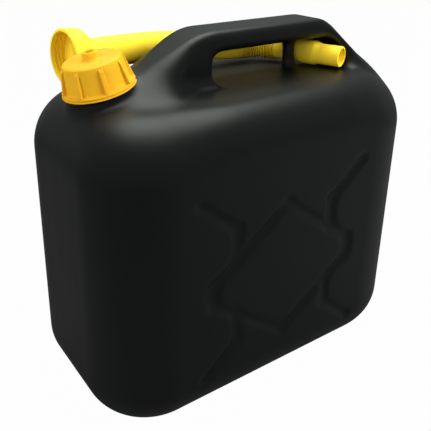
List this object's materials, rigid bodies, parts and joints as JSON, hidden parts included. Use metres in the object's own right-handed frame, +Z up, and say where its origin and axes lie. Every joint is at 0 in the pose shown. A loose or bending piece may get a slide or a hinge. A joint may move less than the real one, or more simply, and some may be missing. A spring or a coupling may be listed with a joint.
{
  "type": "plastic fuel can",
  "caption": "Moulded plastic jerrycan with a carrying handle over a finger opening, a ribbed screw cap on a tilted neck and a flexible pouring spout stored through the handle.",
  "frame": {"origin": "on the floor under the middle of the can", "axes": "+Z up, X along the can's length with the neck at -X, Y across it with the stored spout's cup at +Y"},
  "size_m": [0.3175, 0.1804, 0.2921],
  "materials": {
    "can": "satin",
    "cap": "satin",
    "seal": "matte",
    "spout": "satin"
  },
  "bodies": {
    "can": {"can_body": "can", "pouring_spout": "spout"},
    "seal": {"cap_seal": "seal"},
    "cap": {"screw_cap": "cap"}
  },
  "joints": [
    {"name": "cap_lift", "type": "slide", "parent": "can", "child": "seal", "axis": [-0.2079, 0, 0.9781], "range_m": [0, 0.0125]},
    {"name": "cap_turn", "type": "hinge", "parent": "seal", "child": "cap", "pos_m": [-0.11, 0, 0.2585], "axis": [-0.2079, 0, 0.9781], "range_deg": [0, 900]}
  ],
  "couplings": [
    {"joint": "cap_lift", "follows": "cap_turn", "m_per_rad": 0.00079577}
  ]
}
